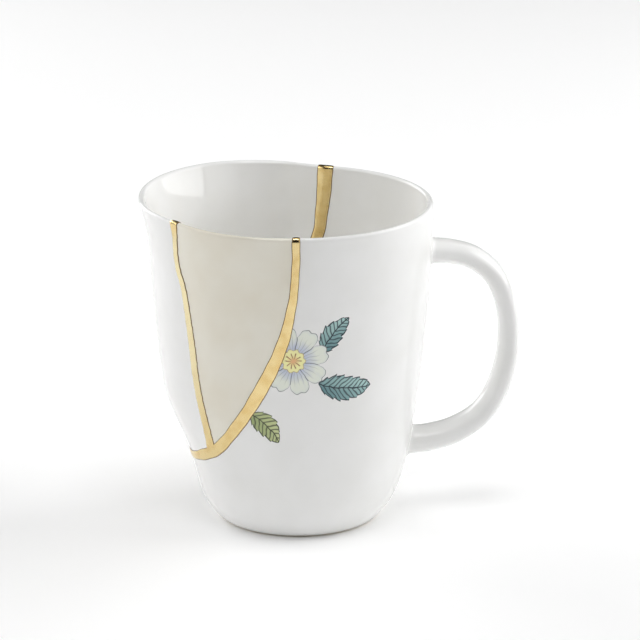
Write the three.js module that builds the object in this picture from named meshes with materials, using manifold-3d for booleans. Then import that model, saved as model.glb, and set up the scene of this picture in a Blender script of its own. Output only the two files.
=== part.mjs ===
// Kintsugi mug: white porcelain, broken into three pieces and put together again with lacquer and gold.
// Millimetres, +Z up, the handle along +X. Angles round the mug run clockwise seen from above, in degrees
// from the handle, so the seen front is near 90, the left side near 180 and the back near 270.

import * as THREE from "three";
import { mergeVertices } from "three/addons/utils/BufferGeometryUtils.js";
import Module from "manifold-3d";

const wasm = await Module();
wasm.setup();

// Cup
const mugHeight = 100;
const rimRadius = 41.3;
const footRadius = 24.2;
const lipThickness = 1.8;
const wallThickness = 3.1; // low in the side, easing to the lip's thickness at the top
const floorHeight = 7; // inside floor above the table
const innerCorner = 14; // height over which the wall curves into the floor inside
const footRingWidth = 3.4;
const footRecess = 1.8;
const footBevel = 1.2; // height of the foot's outer edge
const aroundCup = 64; // facets round the cup
const finestStep = 0.002; // grid for the finished points

// Outline of the cup's side: share of the mug's height, share of the way from the foot's radius to the rim's
const sideOutline = [
  [0, 0], [0.015, 0.1], [0.06, 0.292], [0.12, 0.439], [0.21, 0.579],
  [0.36, 0.719], [0.55, 0.854], [0.78, 0.965], [0.92, 1], [1.1, 1],
];

// The two shards are wider than the cup they were fitted to
const shardBulge = 5; // most that their wall stands out
const shardFlare = 4.4; // most that their lip stands out beyond the wall
const shardLift = 0.8; // most that their rim stands higher
const bulgeRise = 22; // height over which the wall swells, from the broken edge up
const flareDepth = 18; // depth below the rim from which the lip flares
const pinch = 1.1; // how far the main piece is drawn in at the left, round its broken edge
const pinchAngle = 184;
const pinchSpan = 22; // degrees
const pinchHeight = 17;
const pinchRise = 9;

// Angle, share of the bulge, share of the flare
const shardWidening = [
  [94, 0, 0], [116, 0.1, 0.39], [134, 0.18, 0.43], [149, 0.24, 0.42], [157, 0.4, 0.48], [172, 0.7, 0.64],
  [184, 0.86, 0.7], [201, 0.96, 0.88], [219, 1, 1], [239, 0.96, 0.92], [257, 0.68, 0.62],
  [269, 0.4, 0.34], [276, 0.18, 0.16], [286, 0, 0],
];

// Gold seams: angle, share of the mug's height, share of the seam's width.
// One seam follows the main piece's whole broken edge, down the front, round the left and up the back.
const seamWidth = 4.3;
const edgeSeam = [
  [94.4, 1, 0.57], [94.6, 0.91, 0.58], [95.5, 0.826, 0.6], [97.4, 0.747, 0.7], [100.6, 0.663, 0.83],
  [105.8, 0.577, 0.92], [110.2, 0.52, 0.96], [115.8, 0.456, 0.9], [122.5, 0.393, 0.87], [131.3, 0.325, 0.85],
  [138, 0.287, 0.86], [144, 0.266, 0.86], [150, 0.25, 0.8], [157, 0.235, 0.68], [166, 0.221, 0.6],
  [184, 0.207, 0.58], [205, 0.212, 0.6], [225, 0.25, 0.64], [242, 0.32, 0.69], [256, 0.42, 0.74],
  [268, 0.55, 0.78], [277, 0.68, 0.82], [283.1, 0.78, 0.86], [285, 0.871, 0.99], [285.7, 0.929, 1.1],
  [286.3, 1, 1.17],
];
// The other parts the two shards and ends on the first
const leftSeam = [
  [150.6, 1, 0.93], [150.9, 0.955, 0.7], [151.8, 0.9, 0.66], [151.2, 0.849, 0.72], [148.4, 0.791, 0.72],
  [146.6, 0.69, 0.76], [145.6, 0.605, 0.76], [145.3, 0.54, 0.74], [144.5, 0.47, 0.73], [143.6, 0.4, 0.74],
  [142.8, 0.34, 0.76], [142, 0.275, 0.76],
];
const seamProud = 0.35; // how far the gold stands above the porcelain on both faces
const seamGap = 0.3; // clearance between the gold and each broken edge

// Handle, joined to the wall before firing
const handleTop = 83.4; // middle of the upper root
const handleBottom = 22.4; // middle of the lower root
const handleReach = 27.4; // furthest that the handle's middle line stands off the wall
const handleThickness = 6.8;
const handleWidth = 11.4;
const handleFillet = 1.4;
const weldDepth = 0.15; // how deep the fillet's edge lies in the wall
const aroundHandle = 12; // facets round the handle
const handleSections = 19; // count of facets along it between its fillets

// Middle line of the handle: share of the reach, share of the way from the lower root up to the upper root
const handleLine = [
  [0, 1], [0.21, 0.993], [0.487, 0.956], [0.764, 0.851], [0.94, 0.676], [0.995, 0.455],
  [0.93, 0.268], [0.77, 0.134], [0.5, 0.049], [0.2, 0.01], [0, 0.002],
];

// Share of the handle's length, share of its thickness: it gets stouter at the lower root
const handleSwell = [[0, 1.08], [0.12, 1], [0.68, 1], [0.88, 1.14], [1, 1.22]];

// Gives the function that runs smoothly through the points, whose first numbers rise
function smoothThrough(points) {
  const slopes = points.map((_, i) => {
    const before = points[Math.max(i - 1, 0)];
    const after = points[Math.min(i + 1, points.length - 1)];
    return (after[1] - before[1]) / (after[0] - before[0]);
  });
  return (x) => {
    const next = points.findIndex((point) => point[0] > x);
    const i = next < 0 ? points.length - 2 : Math.max(next - 1, 0);
    const span = points[i + 1][0] - points[i][0];
    const t = THREE.MathUtils.clamp((x - points[i][0]) / span, 0, 1);
    const rest = 1 - t;
    return (
      rest * rest * (1 + 2 * t) * points[i][1] + t * t * (3 - 2 * t) * points[i + 1][1] +
      span * t * rest * (rest * slopes[i] - t * slopes[i + 1])
    );
  };
}

const sideShare = smoothThrough(sideOutline);
const bulgeShare = smoothThrough(shardWidening.map(([angle, bulge]) => [angle, bulge]));
const flareShare = smoothThrough(shardWidening.map(([angle, , flare]) => [angle, flare]));
const brokenEdge = smoothThrough(edgeSeam.map(([angle, height]) => [angle, height * mugHeight]));

// Radius of the round cup's outside at a height
function outerRadius(height) {
  return footRadius + (rimRadius - footRadius) * sideShare(height / mugHeight);
}

// Radius of its inside at a height above the rounded corner
function innerRadius(height) {
  const thinning = THREE.MathUtils.clamp(height / mugHeight, 0, 1);
  return outerRadius(height) - THREE.MathUtils.lerp(wallThickness, lipThickness, thinning);
}

// How far the wall stands out beyond the round cup: the shards swell above the broken edge and flare at the
// lip, and the main piece is a little drawn in where it meets them at the left
function widening(angle, height) {
  const rise = THREE.MathUtils.smoothstep(height, brokenEdge(angle), brokenEdge(angle) + bulgeRise);
  const nearRim = Math.max(0, 1 - (mugHeight - height) / flareDepth);
  const fromPinch = Math.hypot((angle - pinchAngle) / pinchSpan, (height - pinchHeight) / pinchRise);
  const swelling = shardBulge * bulgeShare(angle) * rise + shardFlare * flareShare(angle) * nearRim ** 2;
  return swelling - pinch * Math.exp(-(fromPinch ** 2));
}

// How much higher the wall stands there, only close to the rim
function lift(angle, height) {
  const nearRim = THREE.MathUtils.smoothstep(height, mugHeight - flareDepth, mugHeight);
  return shardLift * flareShare(angle) * nearRim;
}

// A place on or near the wall, given its distance from the axis on the round cup
function onMug(angle, height, radius) {
  const turn = THREE.MathUtils.degToRad(angle);
  const far = radius + widening(angle, height);
  return new THREE.Vector3(far * Math.cos(turn), -far * Math.sin(turn), height + lift(angle, height));
}

// Turns a closed geometry into a solid for joining and cutting, with its faces outward
function toSolid(geometry) {
  const bare = geometry.clone();
  bare.deleteAttribute("normal");
  bare.deleteAttribute("uv");
  const merged = mergeVertices(bare, finestStep / 20);
  const corners = [];
  for (let i = 0; i < merged.index.count; i += 3) {
    const triangle = [0, 1, 2].map((k) => merged.index.getX(i + k));
    if (new Set(triangle).size === 3) {
      corners.push(...triangle);
    }
  }
  const vertProperties = new Float32Array(merged.attributes.position.array);
  const solid = solidOf(vertProperties, corners);
  return solid.volume() > 0 ? solid : solidOf(vertProperties, corners.reverse());
}

// A solid from points and its triangles' corners
function solidOf(vertProperties, corners) {
  return new wasm.Manifold(new wasm.Mesh({ numProp: 3, vertProperties, triVerts: new Uint32Array(corners) }));
}

// A closed skin over rings with as many points each, its two ends closed by fans
function loft(rings) {
  const around = rings[0].length;
  const index = [];
  for (let row = 0; row + 1 < rings.length; row += 1) {
    for (let i = 0; i < around; i += 1) {
      const a = row * around + i;
      const b = row * around + ((i + 1) % around);
      index.push(a, b, a + around, b, b + around, a + around);
    }
  }
  const last = (rings.length - 1) * around;
  for (let i = 1; i + 1 < around; i += 1) {
    index.push(0, i + 1, i, last, last + i, last + i + 1);
  }
  const geometry = new THREE.BufferGeometry().setFromPoints(rings.flat());
  geometry.setIndex(index);
  return geometry;
}

// Evenly spread numbers from one value to another, both included
function spread(from, to, count) {
  return Array.from({ length: count }, (_, i) => THREE.MathUtils.lerp(from, to, i / (count - 1)));
}

// The whole unbroken cup, with its skin moved out by a distance on the sides, inside and over the lip
function cup(proud) {
  const lipRadius = lipThickness / 2;
  const lipHeight = mugHeight - lipRadius;
  const profile = [
    [0, footRecess], [footRadius - footRingWidth - footBevel, footRecess],
    [footRadius - footRingWidth, 0], [footRadius - footBevel / 2, 0],
  ];
  const outerShares = [0.03, 0.06, 0.1, 0.15, 0.21, 0.28, 0.36, 0.46, 0.57, 0.68, 0.78, 0.86, 0.93];
  for (const height of [footBevel, ...outerShares.map((share) => share * mugHeight), lipHeight]) {
    profile.push([outerRadius(height) + proud, height]);
  }
  for (const turn of spread(0, Math.PI, 6).slice(1, -1)) {
    const reach = lipRadius + proud;
    profile.push([rimRadius - lipRadius + reach * Math.cos(turn), lipHeight + reach * Math.sin(turn)]);
  }
  const cornerTop = floorHeight + innerCorner;
  for (const height of spread(lipHeight, cornerTop, 10)) {
    profile.push([innerRadius(height) - proud, height]);
  }
  for (const turn of spread(0, Math.PI / 2, 6).slice(1, -1)) {
    profile.push([innerRadius(cornerTop) * Math.cos(turn) - proud, cornerTop - innerCorner * Math.sin(turn)]);
  }
  profile.push([0, floorHeight]);

  const geometry = new THREE.LatheGeometry(profile.map(([r, z]) => new THREE.Vector2(r, z)), aroundCup);
  geometry.rotateX(Math.PI / 2);
  const position = geometry.attributes.position;
  for (let i = 0; i < position.count; i += 1) {
    const radius = Math.hypot(position.getX(i), position.getY(i));
    const angle = THREE.MathUtils.radToDeg(Math.atan2(-position.getY(i), position.getX(i)));
    if (radius > 0) {
      const place = onMug(angle < 0 ? angle + 360 : angle, position.getZ(i), radius);
      position.setXYZ(i, place.x, place.y, place.z);
    }
  }
  return toSolid(geometry);
}

// A radial wall through the cup along a seam, as wide as the seam and a margin on each side of it
function seamCutter(stations, margin) {
  const points = stations.map(([angle, height, width]) => {
    return new THREE.Vector3(angle, height * mugHeight, width * seamWidth);
  });
  const line = new THREE.CatmullRomCurve3(points, false, "catmullrom", 0.5);
  const inner = footRadius - wallThickness;
  const outer = rimRadius + shardBulge + shardFlare + 2 * wallThickness;
  const shells = spread(inner, outer, 5);
  const rings = spread(0, 1, 2 * stations.length - 1).map((t) => {
    const here = line.getPoint(t);
    const ahead = line.getTangent(t);
    const perDegree = THREE.MathUtils.degToRad(outerRadius(here.y) + widening(here.x, here.y));
    const along = new THREE.Vector2(ahead.x * perDegree, ahead.y).normalize();
    const half = here.z / 2 + margin;
    const edge = (side) => [here.x - (side * half * along.y) / perDegree, here.y + side * half * along.x];
    return ringAcross(edge(-1), edge(1), shells);
  });
  return toSolid(loft(rings));
}

// The closed ring of points that a seam's two edges make when they are carried through the shells
function ringAcross(firstEdge, secondEdge, shells) {
  const place = ([angle, height], radius) => {
    const turn = THREE.MathUtils.degToRad(angle);
    return new THREE.Vector3(radius * Math.cos(turn), -radius * Math.sin(turn), height);
  };
  return [
    ...shells.map((radius) => place(firstEdge, radius)),
    ...shells.toReversed().map((radius) => place(secondEdge, radius)),
  ];
}

// The same stations, carried on past the rim so that the cut is open at the top
function pastRim(stations) {
  const further = (2 * lipThickness + shardLift) / mugHeight;
  const beyond = ([angle, height, width]) => [angle, height + further, width];
  const atStart = stations[0][1] === 1 ? [beyond(stations[0])] : [];
  const atEnd = stations.at(-1)[1] === 1 ? [beyond(stations.at(-1))] : [];
  return [...atStart, ...stations, ...atEnd];
}

// Both seams' cutters as one solid
function seams(margin) {
  return seamCutter(pastRim(edgeSeam), margin).add(seamCutter(pastRim(leftSeam), margin));
}

// The handle as a tube along its middle line, with a fillet round each root
function handle() {
  const foot = outerRadius(handleBottom);
  const head = outerRadius(handleTop);
  const points = handleLine.map(([reach, rise]) => {
    const wall = THREE.MathUtils.lerp(foot, head, rise);
    const height = THREE.MathUtils.lerp(handleBottom, handleTop, rise);
    return new THREE.Vector3(wall + reach * handleReach, 0, height);
  });
  const line = new THREE.CatmullRomCurve3(points, false, "catmullrom", 0.5);
  const swell = smoothThrough(handleSwell);
  const clear = (handleFillet + handleThickness / 2) / line.getLength();
  const rings = spread(clear, 1 - clear, handleSections).map((t) => {
    return handleRing(line.getPointAt(t), line.getTangentAt(t), handleThickness * swell(t));
  });
  const upperRoot = rootRings(line.getPointAt(0), line.getTangentAt(0), handleThickness * swell(0));
  const lowerRoot = rootRings(line.getPointAt(1), line.getTangentAt(1), handleThickness * swell(1));
  return toSolid(loft([...upperRoot, ...rings, ...lowerRoot.reverse()]));
}

// The handle's oval section at a point of its middle line, with its skin moved out by a distance
function handleRing(middle, ahead, thickness, proud = 0) {
  const across = new THREE.Vector3(-ahead.z, 0, ahead.x);
  return spread(0, 2 * Math.PI, aroundHandle + 1).slice(0, -1).map((turn) => {
    const point = middle.clone().addScaledVector(across, (thickness / 2 + proud) * Math.cos(turn));
    point.y += (handleWidth / 2 + proud) * Math.sin(turn);
    return point;
  });
}

// Sections from inside the wall out to the end of the fillet, each one as far off the wall all round
function rootRings(middle, ahead, thickness) {
  const ring = (proud, standOff) => {
    return handleRing(middle, ahead, thickness, proud).map((point) => alongToWall(point, ahead, standOff));
  };
  const fillet = spread(0, Math.PI / 2, 4).map((turn) => {
    return ring(handleFillet * (1 - Math.sin(turn)), handleFillet * (1 - Math.cos(turn)) - weldDepth);
  });
  return [ring(handleFillet, -wallThickness), ...fillet];
}

// Slides a point along a direction to where it stands off the cup's outside by a distance
function alongToWall(point, direction, standOff) {
  const outward = direction.x > 0 ? direction : direction.clone().negate();
  let [low, high] = [-handleWidth, handleWidth];
  for (let i = 0; i < 30; i += 1) {
    const middle = (low + high) / 2;
    const place = point.clone().addScaledVector(outward, middle);
    const off = Math.hypot(place.x, place.y) - outerRadius(place.z) - standOff;
    [low, high] = off > 0 ? [low, middle] : [middle, high];
  }
  return point.clone().addScaledVector(outward, (low + high) / 2);
}

// The room inside the middle of the wall: nothing of the handle may reach in there
function wallCore() {
  const profile = spread(0, mugHeight, 24).map((height) => {
    return new THREE.Vector2((outerRadius(height) + innerRadius(height)) / 2, height);
  });
  const closed = [new THREE.Vector2(0, 0), ...profile, new THREE.Vector2(0, mugHeight)];
  return toSolid(new THREE.LatheGeometry(closed, aroundCup).rotateX(Math.PI / 2));
}

// A solid's separate pieces, the largest first
function separatePieces(solid) {
  const { vertProperties, triVerts, numProp } = solid.getMesh();
  const parent = Uint32Array.from({ length: vertProperties.length / numProp }, (_, i) => i);
  const rootOf = (i) => {
    while (parent[i] !== i) {
      parent[i] = parent[parent[i]];
      i = parent[i];
    }
    return i;
  };
  for (let i = 0; i < triVerts.length; i += 3) {
    parent[rootOf(triVerts[i + 1])] = rootOf(triVerts[i]);
    parent[rootOf(triVerts[i + 2])] = rootOf(triVerts[i]);
  }
  const groups = new Map();
  for (let i = 0; i < triVerts.length; i += 3) {
    const root = rootOf(triVerts[i]);
    const group = groups.get(root) ?? [];
    group.push(triVerts[i], triVerts[i + 1], triVerts[i + 2]);
    groups.set(root, group);
  }
  const pieces = [...groups.values()].map((corners) => solidOf(vertProperties, corners));
  return pieces.sort((a, b) => b.volume() - a.volume());
}

// A solid's faces with their corners snapped to a fine grid, without the slivers that vanish there
function snapped(solid) {
  const { vertProperties, triVerts } = solid.getMesh();
  const geometry = new THREE.BufferGeometry();
  const places = vertProperties.map((value) => Math.round(value / finestStep) * finestStep);
  geometry.setAttribute("position", new THREE.BufferAttribute(places, 3));
  geometry.setIndex(new THREE.BufferAttribute(triVerts, 1));
  const merged = mergeVertices(geometry, finestStep / 2);
  const faces = new Map();
  for (let i = 0; i < merged.index.count; i += 3) {
    const corners = [0, 1, 2].map((k) => merged.index.getX(i + k));
    const key = corners.toSorted((a, b) => a - b).join();
    if (new Set(corners).size < 3) {
      continue;
    }
    if (faces.has(key)) {
      faces.delete(key);
    } else {
      faces.set(key, corners);
    }
  }
  merged.setIndex([...faces.values()].flat());
  return merged;
}

// A solid as a named mesh with its material
function mesh(name, solid, material) {
  const result = new THREE.Mesh(snapped(solid), material);
  result.name = name;
  return result;
}

// White glazed porcelain
function whitePorcelain() {
  return new THREE.MeshStandardMaterial({ color: "#f3f2ee", roughness: 0.15, metalness: 0 });
}

// Ivory glazed porcelain of the front shard
function ivoryPorcelain() {
  return new THREE.MeshStandardMaterial({ color: "#ebe8dd", roughness: 0.15, metalness: 0 });
}

// Bright gold over lacquer
function gold() {
  return new THREE.MeshStandardMaterial({ color: "#cfa349", roughness: 0.25, metalness: 1 });
}

const [mainPiece, sidePiece, frontPiece] = separatePieces(cup(0).subtract(seams(seamGap)));
const body = mainPiece.add(handle().subtract(wallCore()));
const group = new THREE.Group();
group.add(mesh("mug_body", body, whitePorcelain()));
group.add(mesh("front_shard", frontPiece, ivoryPorcelain()));
group.add(mesh("side_shard", sidePiece, whitePorcelain()));
group.add(mesh("gold_seam", cup(seamProud).intersect(seams(0)), gold()));

// The origin is the middle of the mug's outline on the table
const bounds = new THREE.Box3().setFromObject(group);
const middle = bounds.getCenter(new THREE.Vector3());
group.position.set(-middle.x, -middle.y, -bounds.min.z);

export default group;
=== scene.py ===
"""A porcelain mug that was broken into three pieces and put together again with lacquer and gold.

Metres, +Z up, the handle along +X. Shapes are worked out in millimetres round the mug's own axis. Angles
round the mug run clockwise seen from above, in degrees from the handle: the seen front is near 90, the left
side near 180 and the back near 270.
"""

import bpy
import numpy as np
from mathutils import Matrix, Vector


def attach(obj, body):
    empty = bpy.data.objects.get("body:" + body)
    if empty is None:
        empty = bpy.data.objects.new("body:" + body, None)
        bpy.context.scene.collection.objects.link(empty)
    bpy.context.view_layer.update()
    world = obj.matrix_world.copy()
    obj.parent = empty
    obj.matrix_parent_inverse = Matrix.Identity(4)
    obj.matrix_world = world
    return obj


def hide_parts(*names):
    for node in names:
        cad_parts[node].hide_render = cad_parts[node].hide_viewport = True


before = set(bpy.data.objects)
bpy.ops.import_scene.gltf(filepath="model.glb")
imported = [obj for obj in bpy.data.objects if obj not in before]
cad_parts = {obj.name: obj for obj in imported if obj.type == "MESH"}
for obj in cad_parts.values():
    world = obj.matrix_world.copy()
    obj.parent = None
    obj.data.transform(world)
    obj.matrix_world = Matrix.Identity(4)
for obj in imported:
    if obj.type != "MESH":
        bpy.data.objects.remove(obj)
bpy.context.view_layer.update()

# White cup with its handle
# The largest piece of the mug: cast porcelain, glazed all over but for the foot ring it was fired on. The
# handle was stuck on with slip before firing, so glaze runs over a soft fillet round each of its roots.

MILLIMETRE = 0.001
MUG_AXIS = np.array([-10.025, -2.162])  # the round cup's axis in the frame, mm
MUG_HEIGHT = 100.0
RIM_RADIUS = 41.3
FOOT_RADIUS = 24.2
LIP_THICKNESS = 1.8
WALL_THICKNESS = 3.1
FLOOR_HEIGHT = 7.0
INNER_CORNER = 14.0
FOOT_BEVEL = 1.2
SHARD_BULGE = 5.0
SHARD_FLARE = 4.4
SHARD_LIFT = 0.8
BULGE_RISE = 22.0
FLARE_DEPTH = 18.0
PINCH = 1.1
PINCH_ANGLE, PINCH_SPAN = 184.0, 22.0
PINCH_HEIGHT, PINCH_RISE = 17.0, 9.0

# Share of the mug's height, share of the way from the foot's radius to the rim's
SIDE_OUTLINE = [
    (0, 0), (0.015, 0.1), (0.06, 0.292), (0.12, 0.439), (0.21, 0.579),
    (0.36, 0.719), (0.55, 0.854), (0.78, 0.965), (0.92, 1), (1.1, 1),
]
# Angle, share of the shards' bulge, share of their flare at the lip
SHARD_WIDENING = [
    (94, 0, 0), (116, 0.1, 0.39), (134, 0.18, 0.43), (149, 0.24, 0.42), (157, 0.4, 0.48), (172, 0.7, 0.64),
    (184, 0.86, 0.7), (201, 0.96, 0.88), (219, 1, 1), (239, 0.96, 0.92), (257, 0.68, 0.62),
    (269, 0.4, 0.34), (276, 0.18, 0.16), (286, 0, 0),
]
# The break round the white cup: angle, share of the mug's height, share of the gold's full width
EDGE_SEAM = [
    (94.4, 1, 0.57), (94.6, 0.91, 0.58), (95.5, 0.826, 0.6), (97.4, 0.747, 0.7), (100.6, 0.663, 0.83),
    (105.8, 0.577, 0.92), (110.2, 0.52, 0.96), (115.8, 0.456, 0.9), (122.5, 0.393, 0.87),
    (131.3, 0.325, 0.85), (138, 0.287, 0.86), (144, 0.266, 0.86), (150, 0.25, 0.8), (157, 0.235, 0.68),
    (166, 0.221, 0.6), (184, 0.207, 0.58), (205, 0.212, 0.6), (225, 0.25, 0.64), (242, 0.32, 0.69),
    (256, 0.42, 0.74),
    (268, 0.55, 0.78), (277, 0.68, 0.82), (283.1, 0.78, 0.86), (285, 0.871, 0.99), (285.7, 0.929, 1.1),
    (286.3, 1, 1.17),
]
# Underside of the foot from the middle out: radius, height
FOOT_OUTLINE = [
    (0, 1.8), (6, 1.8), (12, 1.8), (17.4, 1.8), (19.0, 1.72), (19.8, 1.3), (20.4, 0.5), (21.0, 0.06),
    (21.6, 0), (22.6, 0), (23.3, 0), (23.9, 0.08), (24.7, 0.5), (25.53, 1.2),
]


def smooth_through(points):
    """The function through points with rising first numbers: between two of them the cubic whose slope at
    each point is that of the line from the point before to the point after. Level beyond both ends."""
    x, y = np.array(points, float).T
    before = np.maximum(np.arange(len(x)) - 1, 0)
    after = np.minimum(np.arange(len(x)) + 1, len(x) - 1)
    slope = (y[after] - y[before]) / (x[after] - x[before])

    def value(at):
        i = np.clip(np.searchsorted(x, at, side="right") - 1, 0, len(x) - 2)
        span = x[i + 1] - x[i]
        t = np.clip((at - x[i]) / span, 0, 1)
        rest = 1 - t
        ends = rest * rest * (1 + 2 * t) * y[i] + t * t * (3 - 2 * t) * y[i + 1]
        return ends + span * t * rest * (rest * slope[i] - t * slope[i + 1])

    return value


def curve_through(points, steps):
    """Catmull-Rom curve: between two points the cubic whose end slopes are half the way between the points
    before and after. The curve's ends mirror their neighbours. Gives as many points for each stretch as
    steps says, and the last point."""
    p = np.asarray(points, float)
    p = np.vstack([2 * p[0] - p[1], p, 2 * p[-1] - p[-2]])
    t = np.linspace(0, 1, steps, endpoint=False)[None, :, None]
    before, start, end, after = (p[k : len(p) - 3 + k, None, :] for k in range(4))
    curve = (
        (2 * t**3 - 3 * t**2 + 1) * start
        + (t**3 - 2 * t**2 + t) * (end - before) / 2
        + (3 * t**2 - 2 * t**3) * end
        + (t**3 - t**2) * (after - start) / 2
    )
    return np.vstack([curve.reshape(-1, p.shape[1]), p[-2]])


def smoothstep(x, start, end):
    """0 before start, 1 after end, and 3 t^2 - 2 t^3 between them."""
    t = np.clip((x - start) / (end - start), 0, 1)
    return t * t * (3 - 2 * t)


side_share = smooth_through(SIDE_OUTLINE)
bulge_share = smooth_through([(angle, bulge) for angle, bulge, _ in SHARD_WIDENING])
flare_share = smooth_through([(angle, flare) for angle, _, flare in SHARD_WIDENING])
broken_edge = smooth_through([(angle, height * MUG_HEIGHT) for angle, height, _ in EDGE_SEAM])


def outer_radius(height):
    """Foot's radius plus the outline's share of the way to the rim's."""
    return FOOT_RADIUS + (RIM_RADIUS - FOOT_RADIUS) * side_share(height / MUG_HEIGHT)


def inner_radius(height):
    """Outer radius less the wall, which thins evenly to the lip. Below the corner's top, a quarter of an
    ellipse that ends in the floor."""
    corner_top = FLOOR_HEIGHT + INNER_CORNER
    high = np.maximum(height, corner_top)
    wall = WALL_THICKNESS + (LIP_THICKNESS - WALL_THICKNESS) * np.clip(high / MUG_HEIGHT, 0, 1)
    below = np.clip((corner_top - height) / INNER_CORNER, 0, 1)
    return (outer_radius(high) - wall) * np.sqrt(1 - below**2)


def on_mug(angle, height, radius):
    """Point at an angle, a height and a radius, moved out by the widening and up by the lift. Widening is
    the bulge's share times a smooth step above the break, plus the flare's share times the squared nearness
    to the rim, less a bell-shaped pinch at the left. The lift is a smooth step just below the rim."""
    edge = broken_edge(angle)
    near_rim = np.maximum(0, 1 - (MUG_HEIGHT - height) / FLARE_DEPTH)
    widening = SHARD_BULGE * bulge_share(angle) * smoothstep(height, edge, edge + BULGE_RISE)
    widening += SHARD_FLARE * flare_share(angle) * near_rim**2
    widening -= PINCH * np.exp(
        -(((angle - PINCH_ANGLE) / PINCH_SPAN) ** 2) - ((height - PINCH_HEIGHT) / PINCH_RISE) ** 2
    )
    widening = widening * smoothstep(radius, 0, FOOT_RADIUS)
    lift = SHARD_LIFT * flare_share(angle) * smoothstep(height, MUG_HEIGHT - FLARE_DEPTH, MUG_HEIGHT)
    turn = np.radians(angle)
    far = radius + widening
    return np.stack(
        [MUG_AXIS[0] + far * np.cos(turn), MUG_AXIS[1] - far * np.sin(turn), height + lift], axis=-1
    )


# Way along the wall's skin, mm: up the outside by height, round the lip, down the inside
LIP_START = MUG_HEIGHT - LIP_THICKNESS / 2
LIP_END = LIP_START + np.pi * LIP_THICKNESS / 2
LIP_TOP = (LIP_START + LIP_END) / 2
LIP_ROWS = 17
CORNER_START = 19.0  # height below which the even rows of the walls stop


def skin(angle, way, proud):
    """Point on the wall's skin, moved off it by proud: outer radius at way's height, then a half circle of
    the lip's half thickness, then inner radius at the height that way has come down to."""
    turn = np.clip((way - LIP_START) * 2 / LIP_THICKNESS, 0, np.pi)
    down = np.maximum(way - LIP_END, 0)
    height = np.where(way > LIP_END, LIP_START - down, np.minimum(way, LIP_START))
    reach = LIP_THICKNESS / 2 + proud
    radius = np.where(way > LIP_END, inner_radius(height) - proud, outer_radius(height) + proud)
    on_lip = (way > LIP_START) & (way <= LIP_END)
    radius = np.where(on_lip, RIM_RADIUS - LIP_THICKNESS / 2 + reach * np.cos(turn), radius)
    height = np.where(on_lip, LIP_START + reach * np.sin(turn), height)
    return on_mug(angle, height, radius)


def outside_way(height):
    """Way to a height on the outside. The lip's top if the height is on the lip."""
    return np.where(height < LIP_START, height, LIP_TOP)


def inside_way(height):
    """Way to a height on the inside. The lip's top if the height is on the lip."""
    return np.where(height < LIP_START, LIP_END + LIP_START - height, LIP_TOP)


def grid_faces(columns, rows, wrap_columns, wrap_rows):
    """Two triangles for each cell of a grid of points numbered column by column."""
    i = np.arange(columns if wrap_columns else columns - 1)[:, None]
    j = np.arange(rows if wrap_rows else rows - 1)[None, :]
    a = i * rows + j
    b = i * rows + (j + 1) % rows
    c = (i + 1) % columns * rows + (j + 1) % rows
    d = (i + 1) % columns * rows + j
    return np.vstack([np.stack([a, b, c], -1).reshape(-1, 3), np.stack([a, c, d], -1).reshape(-1, 3)])


def closed_shell(points, faces):
    """Joins points that fall together, drops the faces that vanish, and turns the shell so that the volume,
    a sixth of the sum of the corners' triple products, is positive. Gives points, faces, and which of the
    given points each one was."""
    snapped = np.round(points.reshape(-1, 3), 4)
    places, first, index = np.unique(snapped, axis=0, return_index=True, return_inverse=True)
    faces = index.reshape(-1)[faces]
    a, b, c = faces.T
    faces = faces[(a != b) & (b != c) & (c != a)]
    a, b, c = (places[faces[:, k]] for k in range(3))
    volume = np.einsum("ij,ij->", a, np.cross(b, c))
    return places, faces if volume > 0 else faces[:, ::-1], first


def make_piece(name, shells, sharp_angle):
    """One object from closed shells in millimetres, smooth but for edges sharper than an angle, degrees."""
    starts = np.cumsum([0] + [len(shell[0]) for shell in shells])
    points = np.vstack([shell[0] for shell in shells]) * MILLIMETRE
    faces = np.vstack([shell[1] + start for shell, start in zip(shells, starts)])
    mesh = bpy.data.meshes.new(name)
    mesh.vertices.add(len(points))
    mesh.vertices.foreach_set("co", points.ravel())
    mesh.loops.add(faces.size)
    mesh.loops.foreach_set("vertex_index", faces.ravel())
    mesh.polygons.add(len(faces))
    mesh.polygons.foreach_set("loop_start", np.arange(0, faces.size, 3))
    mesh.polygons.foreach_set("loop_total", np.full(len(faces), 3))
    mesh.update(calc_edges=True)
    mesh.polygons.foreach_set("use_smooth", np.ones(len(faces), bool))
    mesh.set_sharp_from_angle(angle=np.radians(sharp_angle))
    piece = bpy.data.objects.new(name, mesh)
    bpy.context.scene.collection.objects.link(piece)
    return piece


EDGE_GAP = 0.3  # porcelain ends this far from the middle of a seam, mm
EDGE_TURN = 0.6  # and this many degrees from it where the seam is steep
COLUMN_STEP, FINE_STEP = 1.25, 0.15  # degrees between columns, and where a seam is steep
# Columns of the white cup: from angle, to angle, step
CUP_COLUMNS = [(0, 360, COLUMN_STEP), (92.5, 96.6, FINE_STEP), (281.5, 288, FINE_STEP)]
OUTSIDE_ROWS, INSIDE_ROWS, CORNER_ROWS = 92, 62, 22
BELOW_LIP = 0.01  # the rows down the inside start this far below the lip's half circle, mm
SHARP_EDGE = 38  # degrees, the porcelain's edges sharper than this aren't smoothed


def column_angles(stretches):
    """Angles of the columns: each stretch has its own even step."""
    return np.concatenate([np.arange(*stretch) for stretch in stretches])


def lowest_near(height_at, angle):
    """The least of a height function within the seam's half gap in angle."""
    return np.minimum(height_at(angle - EDGE_TURN), height_at(angle + EDGE_TURN)) - EDGE_GAP


def highest_near(height_at, angle):
    """The greatest of a height function within the seam's half gap in angle."""
    return np.maximum(height_at(angle - EDGE_TURN), height_at(angle + EDGE_TURN)) + EDGE_GAP


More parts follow.
